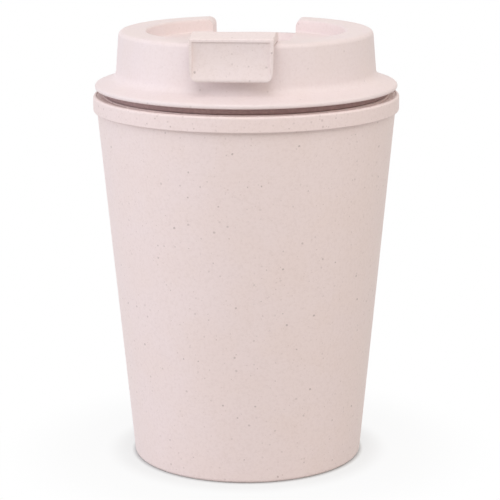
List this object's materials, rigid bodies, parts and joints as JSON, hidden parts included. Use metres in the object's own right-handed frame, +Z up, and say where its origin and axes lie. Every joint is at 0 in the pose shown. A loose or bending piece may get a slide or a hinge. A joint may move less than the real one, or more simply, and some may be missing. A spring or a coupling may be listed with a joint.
{
  "type": "coffee cup",
  "caption": "Tapered insulated plastic coffee cup with a rim band, a screw-on lid with a raised rim, and a flip-over drinking flap that folds back into a channel.",
  "frame": {"origin": "centre of the foot ring, on the surface that the cup stands on", "axes": "+Z up along the cup's axis, -Y towards the drinking side with the thumb tab, +X to the right seen from the front"},
  "size_m": [0.0918, 0.0918, 0.1337],
  "materials": {
    "cup_plastic": "matte, with fine brown fibre specks",
    "lid_plastic": "matte, with sparse fibre specks",
    "silicone": "soft matte",
    "pin_steel": "drawn wire"
  },
  "bodies": {
    "cup": {"outer_shell": "cup_plastic", "inner_liner": "cup_plastic"},
    "gasket": {"lid_gasket": "silicone"},
    "lid": {"lid_shell": "lid_plastic", "hinge_pin": "pin_steel"},
    "flap": {"flip_flap": "lid_plastic", "flap_stopper": "silicone"}
  },
  "joints": [
    {"name": "lid_lift", "type": "slide", "parent": "cup", "child": "gasket", "axis": [0, 0, 1], "range_m": [0, 0.01201]},
    {"name": "lid_turn", "type": "hinge", "parent": "gasket", "child": "lid", "pos_m": [0, 0, 0.1134], "axis": [0, 0, 1], "range_deg": [0, 540]},
    {"name": "flap_hinge", "type": "hinge", "parent": "lid", "child": "flap", "pos_m": [0, -0.005, 0.1286], "axis": [-1, 0, 0], "range_deg": [0, 180]}
  ],
  "couplings": [
    {"joint": "lid_lift", "follows": "lid_turn", "m_per_rad": 0.0012732}
  ]
}
